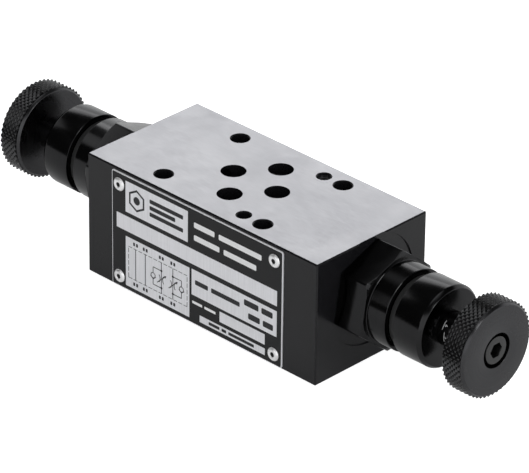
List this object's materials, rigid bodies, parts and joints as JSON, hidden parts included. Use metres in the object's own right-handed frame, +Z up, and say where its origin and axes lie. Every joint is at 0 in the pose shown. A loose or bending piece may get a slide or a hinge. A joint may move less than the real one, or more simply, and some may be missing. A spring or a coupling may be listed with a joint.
{
  "type": "double throttle check valve",
  "caption": "Sandwich-plate hydraulic flow control valve: block with a port pattern and an adjustable throttle-check cartridge with knurled knob in each end.",
  "frame": {"origin": "middle of the mounting bolt pattern, on the lower seal face", "axes": "+X along the throttle axis towards the right-hand knob, +Y away from the nameplate, +Z up through the stack"},
  "size_m": [0.1858, 0.0457, 0.039],
  "materials": {
    "body_black": "phosphated black, seal faces ground bright",
    "black_oxide": "turned, black oxide, glossy",
    "black_stem": "black oxide with a white engraved scale",
    "knob_black": "knurled, black anodised",
    "screw_black": "black oxide",
    "hardened_steel": "ground",
    "spring_steel": "drawn wire",
    "seal_rubber": "moulded nitrile",
    "backup_plastic": "white seal plastic",
    "plate_enamel": "black enamel with bare aluminium windows and edges",
    "rivet_aluminium": "bright"
  },
  "bodies": {
    "valve": {"valve_body": "body_black", "port_seals": "seal_rubber", "locating_pin": "spring_steel", "nameplate": "plate_enamel", "nameplate_rivets": "rivet_aluminium", "left_plug": "black_oxide", "left_plug_seal": "seal_rubber", "left_groove_ring": "seal_rubber", "left_index_sleeve": "black_oxide", "left_wiper": "seal_rubber", "left_seat_sleeve": "hardened_steel", "left_sleeve_seal": "seal_rubber", "left_backup_ring": "backup_plastic", "right_plug": "black_oxide", "right_plug_seal": "seal_rubber", "right_groove_ring": "seal_rubber", "right_index_sleeve": "black_oxide", "right_wiper": "seal_rubber", "right_seat_sleeve": "hardened_steel", "right_sleeve_seal": "seal_rubber", "right_backup_ring": "backup_plastic"},
    "left_hanger": {"left_hanger_rod": "hardened_steel", "left_stop_ring": "hardened_steel", "left_check_spring": "spring_steel"},
    "left_setting": {"left_spindle": "black_stem", "left_spindle_seal": "seal_rubber", "left_knob": "knob_black", "left_knob_screw": "screw_black"},
    "left_spool": {"left_throttle_spool": "hardened_steel"},
    "right_hanger": {"right_hanger_rod": "hardened_steel", "right_stop_ring": "hardened_steel", "right_check_spring": "spring_steel"},
    "right_setting": {"right_spindle": "black_stem", "right_spindle_seal": "seal_rubber", "right_knob": "knob_black", "right_knob_screw": "screw_black"},
    "right_spool": {"right_throttle_spool": "hardened_steel"}
  },
  "joints": [
    {"name": "left_setting_travel", "type": "slide", "parent": "valve", "child": "left_hanger", "axis": [-1, 0, 0], "range_m": [-0.0033, 0.0027]},
    {"name": "left_knob_turn", "type": "hinge", "parent": "left_hanger", "child": "left_setting", "pos_m": [-0.08405, 0, 0.02255], "axis": [-1, 0, 0], "range_deg": [-1188.1, 972.1]},
    {"name": "left_check_lift", "type": "slide", "parent": "left_hanger", "child": "left_spool", "axis": [-1, 0, 0], "range_m": [0, 0.0025], "stiffness_N_per_m": 400, "springref_m": -0.008, "deforming": ["left_check_spring"]},
    {"name": "right_setting_travel", "type": "slide", "parent": "valve", "child": "right_hanger", "axis": [1, 0, 0], "range_m": [-0.004, 0.002]},
    {"name": "right_knob_turn", "type": "hinge", "parent": "right_hanger", "child": "right_setting", "pos_m": [0.08655, 0, 0.02255], "axis": [1, 0, 0], "range_deg": [-1440.1, 720.1]},
    {"name": "right_check_lift", "type": "slide", "parent": "right_hanger", "child": "right_spool", "axis": [1, 0, 0], "range_m": [0, 0.0025], "stiffness_N_per_m": 400, "springref_m": -0.008, "deforming": ["right_check_spring"]}
  ],
  "couplings": [
    {"joint": "left_knob_turn", "follows": "left_setting_travel", "rad_per_m": 6283.2},
    {"joint": "right_knob_turn", "follows": "right_setting_travel", "rad_per_m": 6283.2}
  ]
}
